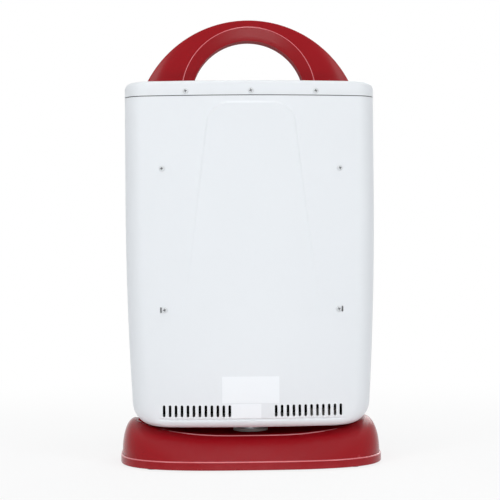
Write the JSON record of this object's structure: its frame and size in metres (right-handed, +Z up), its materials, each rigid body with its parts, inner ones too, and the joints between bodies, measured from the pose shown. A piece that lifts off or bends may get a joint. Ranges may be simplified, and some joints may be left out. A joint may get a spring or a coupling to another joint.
{
  "type": "electric room heater",
  "caption": "Upright radiant heater with a bowed white case, arched red carrying handle and a red domed base on which the whole case swings from side to side.",
  "frame": {"origin": "on the floor, at the middle of the base, under the swivel axis", "axes": "+Z up along the swivel axis, +Y out of the rear face that the picture shows, -Y out of the radiant front, +X to the left as the picture shows it"},
  "size_m": [0.332, 0.226, 0.563],
  "materials": {
    "red_plastic": "glossy moulded, dark red",
    "white_steel": "satin stove enamel, white",
    "white_plastic": "satin moulded, white",
    "panel_plastic": "fine grain, light grey",
    "pale_plastic": "self-lubricating moulding, pale grey",
    "black_plastic": "matt moulded, black",
    "rubber": "matt, black",
    "zinc_steel": "zinc-plated sheet",
    "screw_steel": "bright zinc",
    "chromed_wire": "chrome plated",
    "polished_aluminium": "polished",
    "quartz": "milky quartz",
    "coil_wire": "dull resistance wire",
    "ceramic": "unglazed ceramic",
    "amber_lens": "tinted lens"
  },
  "bodies": {
    "base": {"base_cover": "red_plastic", "base_plate": "zinc_steel", "rubber_feet": "rubber", "base_plate_screws": "screw_steel", "cord_gland": "rubber", "tip_switch": "black_plastic", "swivel_bush": "pale_plastic", "swing_motor": "zinc_steel", "swing_motor_screws": "screw_steel"},
    "tip_plunger": {"tip_plunger": "pale_plastic"},
    "swing_pinion": {"swing_pinion": "pale_plastic"},
    "heater_body": {"pivot_tube": "zinc_steel", "pivot_screws": "screw_steel", "swing_gear": "pale_plastic", "swivel_clip": "screw_steel", "bottom_pan": "zinc_steel", "bottom_pan_screws": "screw_steel", "rear_cover": "white_steel", "rear_cover_screws": "screw_steel", "top_cap": "white_steel", "top_cap_screws": "screw_steel", "handle_rear": "red_plastic", "handle_front": "red_plastic", "handle_screws": "screw_steel", "front_frame": "white_plastic", "wire_guard": "chromed_wire", "chassis_left": "zinc_steel", "chassis_right": "zinc_steel", "chassis_screws": "screw_steel", "reflector": "polished_aluminium", "heat_shield": "zinc_steel", "quartz_tube_lower": "quartz", "quartz_tube_middle": "quartz", "quartz_tube_upper": "quartz", "heating_coils": "coil_wire", "ceramic_caps_left": "ceramic", "ceramic_caps_right": "ceramic", "thermal_cutout": "black_plastic", "control_panel": "panel_plastic", "power_switch": "black_plastic", "timer_unit": "black_plastic", "swing_switch": "black_plastic", "pilot_lamp": "amber_lens", "terminal_block": "ceramic"},
    "power_knob": {"power_knob": "red_plastic", "power_shaft": "zinc_steel"},
    "timer_knob": {"timer_knob": "red_plastic", "timer_shaft": "zinc_steel"},
    "swing_button": {"swing_button": "red_plastic"}
  },
  "joints": [
    {"name": "swivel", "type": "hinge", "parent": "base", "child": "heater_body", "pos_m": [0, 0, 0.04], "axis": [0, 0, 1], "range_deg": [-35, 35]},
    {"name": "pinion_spin", "type": "hinge", "parent": "base", "child": "swing_pinion", "pos_m": [0.04965, 0, 0.0255], "axis": [0, 0, 1], "range_deg": [-95, 95]},
    {"name": "tip_plunger_slide", "type": "slide", "parent": "base", "child": "tip_plunger", "axis": [0, 0, 1], "range_m": [-0.005, 0], "stiffness_N_per_m": 60, "springref_m": -0.005},
    {"name": "power_turn", "type": "hinge", "parent": "heater_body", "child": "power_knob", "pos_m": [-0.068, -0.08, 0.1045], "axis": [0, -1, 0], "range_deg": [-180, 0]},
    {"name": "timer_turn", "type": "hinge", "parent": "heater_body", "child": "timer_knob", "pos_m": [0.068, -0.08, 0.1045], "axis": [0, -1, 0], "range_deg": [-300, 0]},
    {"name": "button_press", "type": "slide", "parent": "heater_body", "child": "swing_button", "axis": [0, 1, 0], "range_m": [0, 0.003], "stiffness_N_per_m": 300}
  ],
  "couplings": [
    {"joint": "pinion_spin", "follows": "swivel", "ratio": -2.6667}
  ]
}
